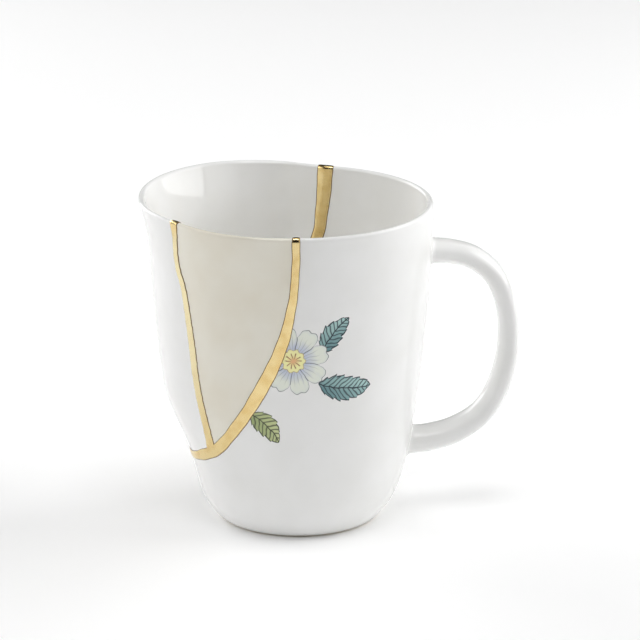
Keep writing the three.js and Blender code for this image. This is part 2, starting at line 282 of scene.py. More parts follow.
def cup_shell():
    """Rows run from the underside's middle out over the foot, up the outside, round the lip, down the
    inside and to the floor's middle. Columns stand at angles. Where the cup is broken, the rows above the
    break are held at it, so that they close the broken face."""
    angle = np.unique(np.round(column_angles(CUP_COLUMNS), 3))[:, None]
    foot = curve_through(FOOT_OUTLINE, steps=3)[:-1]
    outside = np.linspace(FOOT_BEVEL, LIP_START, OUTSIDE_ROWS)
    lip = np.linspace(LIP_START, LIP_END, LIP_ROWS)[1:-1]
    inside = inside_way(np.linspace(LIP_START - BELOW_LIP, CORNER_START, INSIDE_ROWS))
    way = np.concatenate([outside, lip, inside])[None, :]
    top = lowest_near(broken_edge, angle)
    held = np.where(way <= LIP_TOP, np.minimum(way, outside_way(top)), np.maximum(way, inside_way(top)))
    wall = skin(angle, held, 0.0)
    below = np.arcsin((FLOOR_HEIGHT + INNER_CORNER - CORNER_START) / INNER_CORNER)
    turn = np.linspace(below, np.pi / 2, CORNER_ROWS)[None, 1:]
    corner = on_mug(
        angle,
        FLOOR_HEIGHT + INNER_CORNER * (1 - np.sin(turn)),
        inner_radius(FLOOR_HEIGHT + INNER_CORNER) * np.cos(turn),
    )
    underside = on_mug(angle, np.maximum(foot[None, :, 1], 0), np.maximum(foot[None, :, 0], 0))
    points = np.concatenate([underside, wall, corner], axis=1)
    return closed_shell(points, grid_faces(points.shape[0], points.shape[1], True, False))


HANDLE_TOP = 83.4
HANDLE_BOTTOM = 22.4
HANDLE_REACH = 27.4
HANDLE_THICKNESS = 6.8
HANDLE_WIDTH = 11.4
HANDLE_FILLET = 1.4
HANDLE_RINGS = 110  # between its fillets
FILLET_RINGS = 10
WELD_DEPTH = 0.15  # how far the fillet's edge sinks into the wall
WALL_TRIES = 30  # halvings of the way along which a ring's point is slid to the wall
# Middle line: share of the reach, share of the way up from the lower root
HANDLE_LINE = [
    (0, 1), (0.21, 0.993), (0.487, 0.956), (0.764, 0.851), (0.94, 0.676), (0.995, 0.455),
    (0.93, 0.268), (0.77, 0.134), (0.5, 0.049), (0.2, 0.01), (0, 0.002),
]
# Share of the handle's length, share of its thickness
HANDLE_SWELL = [(0, 1.08), (0.12, 1), (0.68, 1), (0.88, 1.14), (1, 1.22)]
# Half of its section, from the outer side to the inner: shares of half its thickness and of half its width.
# It is an oval, a little fuller on the outer side.
HANDLE_SECTION = [
    (1, 0), (0.97, 0.3), (0.87, 0.6), (0.7, 0.82), (0.48, 0.95), (0.22, 1.0), (-0.1, 0.98),
    (-0.42, 0.88), (-0.7, 0.68), (-0.92, 0.37), (-1, 0),
]


def handle_shell():
    """The section, a smooth curve through its points and their mirror images, is carried square to a smooth
    middle line. At each root it grows by the fillet's quarter circle and is slid along to the wall."""
    reach, rise = np.array(HANDLE_LINE).T
    foot, head = outer_radius(np.array([HANDLE_BOTTOM, HANDLE_TOP]))
    across_cup = foot + (head - foot) * rise + reach * HANDLE_REACH
    up = HANDLE_BOTTOM + (HANDLE_TOP - HANDLE_BOTTOM) * rise
    line = curve_through(np.stack([across_cup, up], axis=1), steps=60)
    length = np.concatenate([[0], np.cumsum(np.hypot(*np.diff(line, axis=0).T))])
    swell = smooth_through(HANDLE_SWELL)
    half_section = curve_through(HANDLE_SECTION, steps=4)
    section = np.vstack([half_section, half_section[-2:0:-1] * (1, -1)])

    def sections(share, proud):
        at = share * length[-1]
        x, z = (np.interp(at, length, line[:, k])[:, None] for k in range(2))
        ahead = np.stack([np.interp(at, length, np.gradient(line[:, k], length)) for k in range(2)], axis=1)
        ahead /= np.linalg.norm(ahead, axis=1, keepdims=True)
        half = (HANDLE_THICKNESS * swell(share) / 2 + proud)[:, None] * section[None, :, 0]
        y = (HANDLE_WIDTH / 2 + proud)[:, None] * section[None, :, 1]
        return np.stack([x - ahead[:, 1:] * half, y, z + ahead[:, :1] * half], axis=-1), ahead

    def root(share, order):
        turn = np.linspace(0, np.pi / 2, FILLET_RINGS)
        proud = np.concatenate([[HANDLE_FILLET], HANDLE_FILLET * (1 - np.sin(turn))])
        stand_off = np.concatenate([[-WALL_THICKNESS / 2], HANDLE_FILLET * (1 - np.cos(turn)) - WELD_DEPTH])
        ring, ahead = sections(np.full(len(proud), share), proud)
        outward = np.array([ahead[0, 0], 0, ahead[0, 1]]) * np.sign(ahead[0, 0])
        low, high = np.full(ring.shape[:2], -HANDLE_WIDTH), np.full(ring.shape[:2], HANDLE_WIDTH)
        for _ in range(WALL_TRIES):
            middle = (low + high) / 2
            place = ring + middle[..., None] * outward
            off = np.hypot(place[..., 0], place[..., 1]) - outer_radius(place[..., 2]) - stand_off[:, None]
            low, high = np.where(off > 0, low, middle), np.where(off > 0, middle, high)
        slid = ring + ((low + high) / 2)[..., None] * outward
        return slid[::order]

    clear = (HANDLE_FILLET + HANDLE_THICKNESS / 2) / length[-1]
    free, _ = sections(np.linspace(clear, 1 - clear, HANDLE_RINGS), np.zeros(HANDLE_RINGS))
    rings = np.concatenate([root(0.0, 1), free, root(1.0, -1)])
    ends = [np.broadcast_to(rings[k].mean(axis=0), rings[k].shape)[None] for k in (0, -1)]
    rings = np.concatenate([ends[0], rings, ends[1]]) + np.append(MUG_AXIS, 0)
    return closed_shell(rings, grid_faces(rings.shape[0], rings.shape[1], False, True))


white_cup = make_piece("white_cup", [cup_shell(), handle_shell()], sharp_angle=SHARP_EDGE)


def linear(hex_colour):
    """sRGB hex colour as linear red, green, blue and alpha: v / 12.92 when dark, else
    ((v + 0.055) / 1.055)^2.4."""
    shares = [int(hex_colour[k : k + 2], 16) / 255 for k in (1, 3, 5)]
    return (*(v / 12.92 if v <= 0.04045 else ((v + 0.055) / 1.055) ** 2.4 for v in shares), 1)


def add(tree, kind, inputs=(), out=0, **settings):
    """Adds a node with its settings. Inputs, a list or a dict, hold values or other nodes' outputs to
    link."""
    node = tree.nodes.new(kind)
    for name, value in settings.items():
        setattr(node, name, value)
    for key, value in inputs.items() if isinstance(inputs, dict) else enumerate(inputs):
        if isinstance(value, bpy.types.NodeSocket):
            tree.links.new(value, node.inputs[key])
        elif value is not None:
            node.inputs[key].default_value = value
    return node.outputs[out] if node.outputs else node


def new_material(name):
    """An empty node material."""
    material = bpy.data.materials.new(name)
    material.use_nodes = True
    material.node_tree.nodes.clear()
    return material, material.node_tree


GLAZE_IOR = 1.52
GLAZE_ROUGHNESS = 0.09
BISQUE_ROUGHNESS = 0.62
TONE_PATCH = 14.0  # mm across a patch where the glaze lies thicker
RIPPLE = 5.0  # mm from crest to crest of the glaze's faint ripple
RIPPLE_HEIGHT = 0.00002  # metres
FOOT_GLAZE_START = 0.0007  # height where the glaze begins above the foot ring, metres


def glazed_porcelain(name, body_colour, thick_colour, picture=None):
    """Clear glossy glaze over cast porcelain. The glaze pools a little, which deepens the body's colour in
    broad soft patches, and lies in a ripple that only bends reflections. The foot ring's face is bare, matt
    bisque. A picture, if given, is a function that gives the colour and the cover of what is painted under
    the glaze."""
    material, tree = new_material(name)
    place = add(tree, "ShaderNodeTexCoord", out="Object")
    patches = add(tree, "ShaderNodeTexNoise", {"Vector": place, "Scale": 1000 / TONE_PATCH, "Detail": 2.0})
    patch_share = add(tree, "ShaderNodeMapRange", [patches, 0.35, 0.7, 0.0, 1.0])
    colour = add(
        tree, "ShaderNodeMix", {0: patch_share, 6: linear(body_colour), 7: linear(thick_colour)},
        out=2, data_type="RGBA",
    )
    if picture is not None:
        painted, cover = picture(tree, place)
        colour = add(tree, "ShaderNodeMix", {0: cover, 6: colour, 7: painted}, out=2, data_type="RGBA")
    height = add(tree, "ShaderNodeSeparateXYZ", [place], out=2)
    glazed = add(tree, "ShaderNodeMapRange", [height, FOOT_GLAZE_START * 0.6, FOOT_GLAZE_START, 0.0, 1.0])
    colour = add(tree, "ShaderNodeMix", {0: glazed, 6: linear(BISQUE), 7: colour}, out=2, data_type="RGBA")
    roughness = add(tree, "ShaderNodeMapRange", [glazed, 0.0, 1.0, BISQUE_ROUGHNESS, GLAZE_ROUGHNESS])
    ripple = add(tree, "ShaderNodeTexNoise", {"Vector": place, "Scale": 1000 / RIPPLE, "Detail": 1.0})
    bump = add(tree, "ShaderNodeBump", {"Strength": 1.0, "Distance": RIPPLE_HEIGHT, "Height": ripple})
    glaze = add(
        tree, "ShaderNodeBsdfPrincipled",
        {"Base Color": colour, "Roughness": roughness, "IOR": GLAZE_IOR, "Normal": bump},
    )
    add(tree, "ShaderNodeOutputMaterial", {"Surface": glaze})
    return material


BISQUE = "#d9d3c6"
WHITE_BODY, WHITE_THICK = "#f4f4f3", "#f0f0ee"

# Painted blossom spray
# Enamel colours brushed on the white cup's front before its last glazing: an eight-petalled blossom that
# the break runs through, with three toothed leaves. It is only colour under the glaze and has no thickness.

SPRAY_ANGLE, SPRAY_HEIGHT = 95.7, 61.5  # the blossom's middle
SPRAY_RADIUS = 40.2  # of the wall there, mm
MID_WALL_RADIUS, MID_WALL_SLOPE = 37.6, 0.109  # of the wall's middle there, mm, and its gain for each mm up
PETALS = 8
PETAL_REACH = 11.0
EYE_REACH = 3.7
BRUSH_WANDER = 0.5  # mm, how far the hand's lines wander
LINE = 0.25  # mm, a drawn line's width
PETAL_RIM, PETAL_BLUE, PETAL_LINE = "#ecf0e5", "#c3cade", "#69706f"
EYE_YELLOW, EYE_ORANGE, EYE_LINE = "#fbf6b4", "#edbd86", "#93592f"
TEAL_DARK, TEAL_LIGHT, TEAL_LINE = "#5c8a90", "#b0d2cf", "#1c2a33"
GREEN_DARK, GREEN_LIGHT, GREEN_LINE = "#9cab72", "#ced59d", "#3d462f"
# Leaves: base, tip, half width, bend, all mm from the blossom's middle, veins on each side, colours
LEAVES = [
    ((8.7, 2.4), (17.0, 13.2), 3.4, 0.3, 9, (TEAL_DARK, TEAL_LIGHT, TEAL_LINE)),
    ((7.8, -7.5), (25.6, -9.8), 4.2, -0.25, 11, (TEAL_DARK, TEAL_LIGHT, TEAL_LINE)),
    ((-14.4, -18.2), (-5.0, -27.0), 3.9, 0.3, 8, (GREEN_DARK, GREEN_LIGHT, GREEN_LINE)),
]


def painted_leaf(tree, plane, base, tip, half_width, bend, veins, colours):
    """Own axes: along is the share of the way from base to tip, across counts half widths off the bent
    midrib. The edge is where across is (4 along (1 - along))^0.7 (1.2 - 0.4 along), cut into teeth by a
    sawtooth along it. Veins lie where the share along, less 0.22 of the distance across, is a whole number
    of vein steps. Gives colour and cover."""
    way = np.subtract(tip, base)
    own = add(
        tree, "ShaderNodeMapping",
        {
            "Vector": plane, "Location": (*base, 0), "Rotation": (0, 0, np.arctan2(way[1], way[0])),
            "Scale": (np.hypot(*way), half_width, 1),
        },
        vector_type="TEXTURE",
    )
    split = add(tree, "ShaderNodeSeparateXYZ", [own])
    along, off = split, split.node.outputs[1]
    rest = add(tree, "ShaderNodeMath", [1.0, along], operation="SUBTRACT")
    bow = add(tree, "ShaderNodeMath", [along, rest], operation="MULTIPLY")
    bow4 = add(tree, "ShaderNodeMath", [bow, 4.0], operation="MULTIPLY")
    bow4 = add(tree, "ShaderNodeMath", [bow4, 0.0], operation="MAXIMUM")
    across = add(tree, "ShaderNodeMath", [bow4, -bend, off], operation="MULTIPLY_ADD")
    distance = add(tree, "ShaderNodeMath", [across], operation="ABSOLUTE")
    lens = add(tree, "ShaderNodeMath", [bow4, 0.7], operation="POWER")
    taper = add(tree, "ShaderNodeMath", [along, -0.4, 1.2], operation="MULTIPLY_ADD")
    width = add(tree, "ShaderNodeMath", [lens, taper], operation="MULTIPLY")
    tooth = add(tree, "ShaderNodeMath", [along, 0.6 * veins], operation="MULTIPLY")
    tooth = add(tree, "ShaderNodeMath", [tooth], operation="FRACT")
    tooth = add(tree, "ShaderNodeMath", [tooth, 0.2, 0.86], operation="MULTIPLY_ADD")
    width = add(tree, "ShaderNodeMath", [width, tooth], operation="MULTIPLY")
    inside = add(tree, "ShaderNodeMath", [width, distance], operation="SUBTRACT")
    cover = add(tree, "ShaderNodeMapRange", [inside, 0.0, 0.06 / half_width, 0.0, 1.0])
    line_width = LINE / half_width
    rim = add(tree, "ShaderNodeMapRange", [inside, 1.2 * line_width, 2.0 * line_width, 1.0, 0.0])
    rib = add(tree, "ShaderNodeMapRange", [distance, 0.5 * line_width, line_width, 1.0, 0.0])
    step = add(tree, "ShaderNodeMath", [distance, -0.22, along], operation="MULTIPLY_ADD")
    step = add(tree, "ShaderNodeMath", [step, float(veins)], operation="MULTIPLY")
    to_vein = add(tree, "ShaderNodeMath", [step, 0.5], operation="PINGPONG")
    vein = add(tree, "ShaderNodeMapRange", [to_vein, 0.08, 0.25, 0.85, 0.0])
    lines = add(tree, "ShaderNodeMath", [rib, vein], operation="MAXIMUM")
    lines = add(tree, "ShaderNodeMath", [lines, rim], operation="MAXIMUM")
    dark, light, line = (linear(colour) for colour in colours)
    half = add(tree, "ShaderNodeMapRange", [across, -0.25, 0.25, 0.0, 0.4])
    wash = add(tree, "ShaderNodeMapRange", [along, 0.1, 0.9, 0.0, 0.6])
    tone = add(tree, "ShaderNodeMath", [half, wash], operation="ADD")
    body = add(tree, "ShaderNodeMix", {0: tone, 6: dark, 7: light}, out=2, data_type="RGBA")
    return add(tree, "ShaderNodeMix", {0: lines, 6: body, 7: line}, out=2, data_type="RGBA"), cover


def painted_blossom(tree, plane):
    """Polar: reach from the middle, and turn, in petals, from each petal's own middle line. A petal's edge
    is where reach is PETAL_REACH (1 - 0.3 |2 turn|^3.2), less a small notch at its middle. Round the eye
    the edge is EYE_REACH + 0.3 cos(10 angle), and a stamen lies in each of its ten lobes. Gives colour and
    cover."""
    split = add(tree, "ShaderNodeSeparateXYZ", [plane])
    angle = add(tree, "ShaderNodeMath", [split.node.outputs[1], split], operation="ARCTAN2")
    reach = add(tree, "ShaderNodeVectorMath", [plane], out=1, operation="LENGTH")
    petal = add(
        tree, "ShaderNodeMath", [angle, PETALS / (2 * np.pi), PETALS + 0.2], operation="MULTIPLY_ADD"
    )
    turn = add(tree, "ShaderNodeMath", [petal], operation="FRACT")
    turn = add(tree, "ShaderNodeMath", [turn, 0.5], operation="SUBTRACT")
    turn = add(tree, "ShaderNodeMath", [turn], operation="ABSOLUTE")
    twice = add(tree, "ShaderNodeMath", [turn, 2.0], operation="MULTIPLY")
    round_off = add(tree, "ShaderNodeMath", [twice, 3.2], operation="POWER")
    edge = add(
        tree, "ShaderNodeMath", [round_off, -0.3 * PETAL_REACH, PETAL_REACH], operation="MULTIPLY_ADD"
    )
    notch = add(
        tree, "ShaderNodeMapRange", [turn, 0.0, 0.14, 0.5, 0.0], interpolation_type="SMOOTHSTEP"
    )
    edge = add(tree, "ShaderNodeMath", [edge, notch], operation="SUBTRACT")
    to_edge = add(tree, "ShaderNodeMath", [edge, reach], operation="SUBTRACT")
    from_side = add(tree, "ShaderNodeMath", [0.5, turn], operation="SUBTRACT")
    from_side = add(tree, "ShaderNodeMath", [from_side, reach], operation="MULTIPLY")
    from_side = add(tree, "ShaderNodeMath", [from_side, 4 * np.pi / PETALS], operation="MULTIPLY")
    inside = add(tree, "ShaderNodeMath", [to_edge, from_side], operation="MINIMUM")
    cover = add(tree, "ShaderNodeMapRange", [to_edge, 0.0, 0.06, 0.0, 1.0])
    rim = add(tree, "ShaderNodeMapRange", [inside, LINE * 0.7, LINE * 1.2, 0.95, 0.0])
    streak_place = add(tree, "ShaderNodeCombineXYZ", [petal, reach])
    streak_place = add(tree, "ShaderNodeVectorMath", [streak_place, (6.0, 0.16, 1.0)], operation="MULTIPLY")
    streaks = add(tree, "ShaderNodeTexNoise", {"Vector": streak_place, "Scale": 1.0, "Detail": 2.0})
    blue = add(tree, "ShaderNodeMapRange", [reach, EYE_REACH, PETAL_REACH * 0.7, 1.0, 0.0])
    blue = add(tree, "ShaderNodeMath", [streaks, 0.9, blue], operation="MULTIPLY_ADD")
    blue = add(tree, "ShaderNodeMath", [blue, 0.5], operation="SUBTRACT", use_clamp=True)
    edge_blue = add(tree, "ShaderNodeMapRange", [inside, 0.0, 1.2, 0.25, 0.0])
    blue = add(tree, "ShaderNodeMath", [blue, edge_blue], operation="ADD", use_clamp=True)
    petals = add(
        tree, "ShaderNodeMix", {0: blue, 6: linear(PETAL_RIM), 7: linear(PETAL_BLUE)},
        out=2, data_type="RGBA",
    )
    ray = add(tree, "ShaderNodeMath", [petal, 4.0], operation="MULTIPLY")
    ray = add(tree, "ShaderNodeMath", [ray, 0.5], operation="PINGPONG")
    ray = add(tree, "ShaderNodeMapRange", [ray, 0.04, 0.12, 0.5, 0.0])
    ray_end = add(tree, "ShaderNodeMapRange", [reach, PETAL_REACH * 0.5, PETAL_REACH * 0.78, 1.0, 0.0])
    ray = add(tree, "ShaderNodeMath", [ray, ray_end], operation="MULTIPLY")
    lines = add(tree, "ShaderNodeMath", [ray, rim], operation="MAXIMUM")
    petals = add(
        tree, "ShaderNodeMix", {0: lines, 6: petals, 7: linear(PETAL_LINE)}, out=2, data_type="RGBA"
    )
    lobes = add(tree, "ShaderNodeMath", [angle, 10.0], operation="MULTIPLY")
    lobes = add(tree, "ShaderNodeMath", [lobes], operation="COSINE")
    eye_edge = add(tree, "ShaderNodeMath", [lobes, 0.3, EYE_REACH], operation="MULTIPLY_ADD")
    to_eye = add(tree, "ShaderNodeMath", [eye_edge, reach], operation="SUBTRACT")
    eye = add(tree, "ShaderNodeMapRange", [to_eye, 0.0, 0.1, 0.0, 1.0])
    eye_rim = add(tree, "ShaderNodeMapRange", [to_eye, 0.15, 0.35, 0.75, 0.0])
    stamen = add(tree, "ShaderNodeMapRange", [lobes, 0.5, 0.9, 0.0, 0.9])
    stamen_start = add(tree, "ShaderNodeMapRange", [reach, 0.5, 0.9, 0.0, 1.0])
    stamen_end = add(tree, "ShaderNodeMapRange", [reach, 2.3, 2.7, 1.0, 0.0])
    stamen = add(tree, "ShaderNodeMath", [stamen, stamen_start], operation="MULTIPLY")
    stamen = add(tree, "ShaderNodeMath", [stamen, stamen_end], operation="MULTIPLY")
    eye_lines = add(tree, "ShaderNodeMath", [eye_rim, stamen], operation="MAXIMUM")
    outward = add(tree, "ShaderNodeMapRange", [reach, 0.5, 0.55 * EYE_REACH, 0.0, 1.0])
    eye_body = add(
        tree, "ShaderNodeMix", {0: outward, 6: linear(EYE_ORANGE), 7: linear(EYE_YELLOW)},
        out=2, data_type="RGBA",
    )
    eye_body = add(
        tree, "ShaderNodeMix", {0: eye_lines, 6: eye_body, 7: linear(EYE_LINE)}, out=2, data_type="RGBA"
    )
    return add(tree, "ShaderNodeMix", {0: eye, 6: petals, 7: eye_body}, out=2, data_type="RGBA"), cover


def spray(tree, place):
    """The picture's plane: millimetres to the right, which is the angle left to go times the wall's radius,
    and millimetres up, both from the blossom's middle. Only points farther from the axis than the wall's
    middle are painted, so the cup's inner face stays white."""
    from_axis = add(
        tree, "ShaderNodeVectorMath", [place, (*MUG_AXIS * MILLIMETRE, SPRAY_HEIGHT * MILLIMETRE)],
        operation="SUBTRACT",
    )
    from_axis = add(
        tree, "ShaderNodeVectorMath", {0: from_axis, "Scale": 1 / MILLIMETRE}, operation="SCALE"
    )
    x = add(tree, "ShaderNodeSeparateXYZ", [from_axis])
    y, up = x.node.outputs[1], x.node.outputs[2]
    turned = add(tree, "ShaderNodeMath", [y, x], operation="ARCTAN2")
    right = add(tree, "ShaderNodeMath", [turned, np.radians(SPRAY_ANGLE)], operation="ADD")
    right = add(tree, "ShaderNodeMath", [right, SPRAY_RADIUS], operation="MULTIPLY")
    plane = add(tree, "ShaderNodeCombineXYZ", [right, up])
    wander = add(tree, "ShaderNodeTexNoise", {"Vector": plane, "Scale": 0.35, "Detail": 1.0}, out=1)
    wander = add(tree, "ShaderNodeVectorMath", [wander, (0.5, 0.5, 0.5)], operation="SUBTRACT")
    wander = add(tree, "ShaderNodeVectorMath", {0: wander, "Scale": BRUSH_WANDER * 2}, operation="SCALE")
    plane = add(tree, "ShaderNodeVectorMath", [plane, wander], operation="ADD")
    plane = add(tree, "ShaderNodeVectorMath", [plane, (1.0, 1.0, 0.0)], operation="MULTIPLY")
    colour, cover = painted_blossom(tree, plane)
    for leaf in LEAVES:
        leaf_colour, leaf_cover = painted_leaf(tree, plane, *leaf)
        behind = add(tree, "ShaderNodeMath", [leaf_cover, cover], operation="SUBTRACT", use_clamp=True)
        colour = add(tree, "ShaderNodeMix", {0: behind, 6: colour, 7: leaf_colour}, out=2, data_type="RGBA")
        cover = add(tree, "ShaderNodeMath", [cover, behind], operation="ADD", use_clamp=True)
    radius = add(tree, "ShaderNodeVectorMath", [from_axis, (1.0, 1.0, 0.0)], operation="MULTIPLY")
    radius = add(tree, "ShaderNodeVectorMath", [radius], out=1, operation="LENGTH")
    middle = add(tree, "ShaderNodeMath", [up, MID_WALL_SLOPE, MID_WALL_RADIUS], operation="MULTIPLY_ADD")
    outer_face = add(tree, "ShaderNodeMath", [radius, middle], operation="GREATER_THAN")
    return colour, add(tree, "ShaderNodeMath", [cover, outer_face], operation="MULTIPLY")


white_cup.data.materials.append(
    glazed_porcelain("glazed white porcelain, painted", WHITE_BODY, WHITE_THICK, spray)
)
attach(white_cup, "root")
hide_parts("mug_body")

# Front shard
# The V-shaped shard between the two front seams: porcelain of a slightly warmer, ivory batch under the same
# glaze, held only by the gold.

# The break between the two shards: angle, share of the mug's height, share of the gold's full width
LEFT_SEAM = [
    (142, 0.275, 0.76), (142.8, 0.34, 0.76), (143.6, 0.4, 0.74), (144.5, 0.47, 0.73), (145.3, 0.54, 0.74),
    (145.6, 0.605, 0.74), (146.6, 0.69, 0.7), (148.4, 0.791, 0.62), (151.2, 0.849, 0.56),
    (151.8, 0.9, 0.53), (150.9, 0.955, 0.56), (150.6, 1, 0.8),
]
IVORY_BODY, IVORY_THICK = "#efebde", "#eae4d4"

LEFT_BREAK_START, LEFT_BREAK_END = 142, 153.5  # the break between the shards lies between these angles
LEAST_LEAN = 0.02  # degrees that its angle grows at least, from each point to the next
SHARD_ROWS = 78  # on each face of the wall
# Columns of the front shard: from angle, to angle, step
FRONT_COLUMNS = [(94.3, 96.5, FINE_STEP), (96.5, 143, 0.9), (143, 153.1, 0.2)]

# The shards' edges under the gold only lean one way, so that each angle meets them once
leaning = np.maximum.accumulate([angle for angle, _, _ in LEFT_SEAM])
leaning = leaning + LEAST_LEAN * np.arange(len(leaning))
left_break = smooth_through([(angle, row[1] * MUG_HEIGHT) for angle, row in zip(leaning, LEFT_SEAM)])


def shard_shell(angles, low, top):
    """Rows run up the outside, round the lip and down the inside, and close on themselves. Columns stand
    at angles. Rows below the low height or above the top one are held there, so they close the broken
    faces."""
    outside = np.linspace(CORNER_START, LIP_START, SHARD_ROWS)
    lip = np.linspace(LIP_START, LIP_END, LIP_ROWS)[1:-1]
    inside = inside_way(np.linspace(LIP_START - BELOW_LIP, CORNER_START, SHARD_ROWS))
    way = np.concatenate([outside, lip, inside])[None, :]
    low, top = low[:, None], np.maximum(top, low)[:, None]
    up = np.clip(way, outside_way(low), outside_way(top))
    down = np.clip(way, inside_way(top), inside_way(low))
    points = skin(angles[:, None], np.where(way <= LIP_TOP, up, down), 0.0)
    return closed_shell(points, grid_faces(points.shape[0], points.shape[1], False, True))


front_angles = column_angles(FRONT_COLUMNS)
front_low = np.maximum(
    highest_near(broken_edge, front_angles),
    np.where(front_angles > LEFT_BREAK_START, highest_near(left_break, front_angles), 0),
)
front_shell = shard_shell(front_angles, front_low, np.full(len(front_angles), MUG_HEIGHT))
ivory_shard = make_piece("ivory_shard", [front_shell], sharp_angle=SHARP_EDGE)
ivory_shard.data.materials.append(glazed_porcelain("glazed ivory porcelain", IVORY_BODY, IVORY_THICK))
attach(ivory_shard, "root")
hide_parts("front_shard")

# Side shard
# The large shard of the left side and the back, of the same white porcelain as the cup. It came from a
# wider mug, so it bulges over the break and flares at the lip.

# Columns of the side shard: from angle, to angle, step
SIDE_COLUMNS = [(142.5, 154.1, 0.2), (154.1, 281, 1.1), (281, 286.2, FINE_STEP)]

side_angles = column_angles(SIDE_COLUMNS)
side_low = highest_near(broken_edge, side_angles)
side_top = np.where(side_angles < LEFT_BREAK_END, lowest_near(left_break, side_angles), MUG_HEIGHT)
wide_shard = make_piece("wide_shard", [shard_shell(side_angles, side_low, side_top)], sharp_angle=SHARP_EDGE)
wide_shard.data.materials.append(glazed_porcelain("glazed white porcelain", WHITE_BODY, WHITE_THICK))
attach(wide_shard, "root")
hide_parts("side_shard")

# Gold seams
# Lacquer squeezed into each break stands a little proud of both faces of the wall, and gold is laid on it
# by hand. One seam goes round the white cup's whole broken edge and over the lip twice, the other parts the
# shards and goes over the lip between them.

SEAM_WIDTH = 4.3
SEAM_PROUD = 0.35
SEAM_BURIED = 0.62  # how deep the bead's underside lies in the wall
BEAD_SINK = 0.13  # depth of the bead's widest line under the porcelain
FLATNESS = 0.7
SEEN_SHARE = 0.975  # share of the bead's half width that stands above the porcelain
BEAD_SPREAD = 1.04  # the bead's width is this many times the seam's
BEAD_SIDES = 40
BEAD_LIP_ROWS = 15
SHORTEST_STEP = 0.05  # mm from one ring of the bead to the next
PAST_RIM = 5.6  # how far the seams' courses are drawn on above the lip before they are cut there
BRANCH_WIDENING, BRANCH_REACH = 0.35, 3.0  # share of its width that a branching seam gains, and mm it takes
# Waves of a seam's two edges: mm, count along the seam, start
ONE_EDGE_WAVES = [(0.05, 41, 1.3), (0.04, 67, 0.4)]
OTHER_EDGE_WAVES = [(0.05, 37, 2.1), (0.04, 71, 5.0)]
SWELLING, SWELLS, SWELL_START = 0.07, 29, 0.7  # of a seam's height: share, count along the seam, start
LACQUER_EDGE = 0.26  # mm of lacquer left showing along the gold
WAVE_HEIGHT = 0.00004  # metres, of the brushed lacquer's waves
GOLD_WAVES, GOLD_PATCHES = 420.0, 260.0  # of those waves, and of thinner patches, to the metre
GOLD, GOLD_THIN, LACQUER = "#ead39b", "#dcba78", "#6b4c26"
GOLD_PALE = "#ebe4c0"  # painted reflection: paler gold for the bright room that the seam reflects at a grazing angle, on the upper part of the seam between the two shards
PALE_SHARE = 0.6
PALE_COMES, PALE_GOES = (0.27, 0.6), (0.94, 0.985)  # from and to, shares of the mug's height


